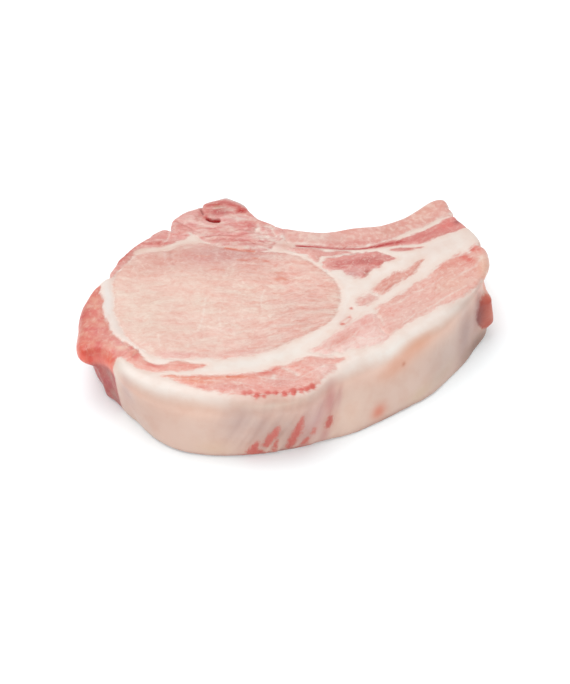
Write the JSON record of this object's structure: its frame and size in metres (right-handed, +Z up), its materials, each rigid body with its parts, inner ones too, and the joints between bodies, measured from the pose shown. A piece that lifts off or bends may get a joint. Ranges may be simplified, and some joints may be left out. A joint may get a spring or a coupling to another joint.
{
  "type": "raw pork chop",
  "caption": "A thick-cut raw bone-in pork rib chop lying on its cut face, with the pale loin eye, marbled side muscles, a rib bone along the upper edge and a fat cap.",
  "frame": {"origin": "middle of the underside, which is the lower cut face that the chop rests on", "axes": "+Z up out of the upper cut face; +X along the chop towards the free end of the rib bone; +Y from the fat cap towards the rib bone"},
  "size_m": [0.1672, 0.124, 0.029],
  "materials": {
    "fat": "moist raw fat, pale cream",
    "loin_eye": "moist raw meat, pale pink",
    "cap_muscle": "wet raw meat, orange-red",
    "back_muscle": "moist raw meat, pink-red",
    "rib_bone": "sawn spongy bone, pink",
    "edge_muscle": "wet raw meat, red",
    "rib_muscle": "moist raw meat, dark red",
    "lower_muscle": "marbled raw meat, pink",
    "side_muscle": "marbled raw meat, pink",
    "end_flap": "raw meat, brownish red"
  },
  "bodies": {
    "root": {"fat": "fat", "loin_eye": "loin_eye", "cap_muscle": "cap_muscle", "back_muscle": "back_muscle", "rib_bone": "rib_bone", "edge_muscle": "edge_muscle", "rib_muscle": "rib_muscle", "lower_muscle": "lower_muscle", "side_muscle": "side_muscle", "end_flap": "end_flap"}
  },
  "joints": []
}
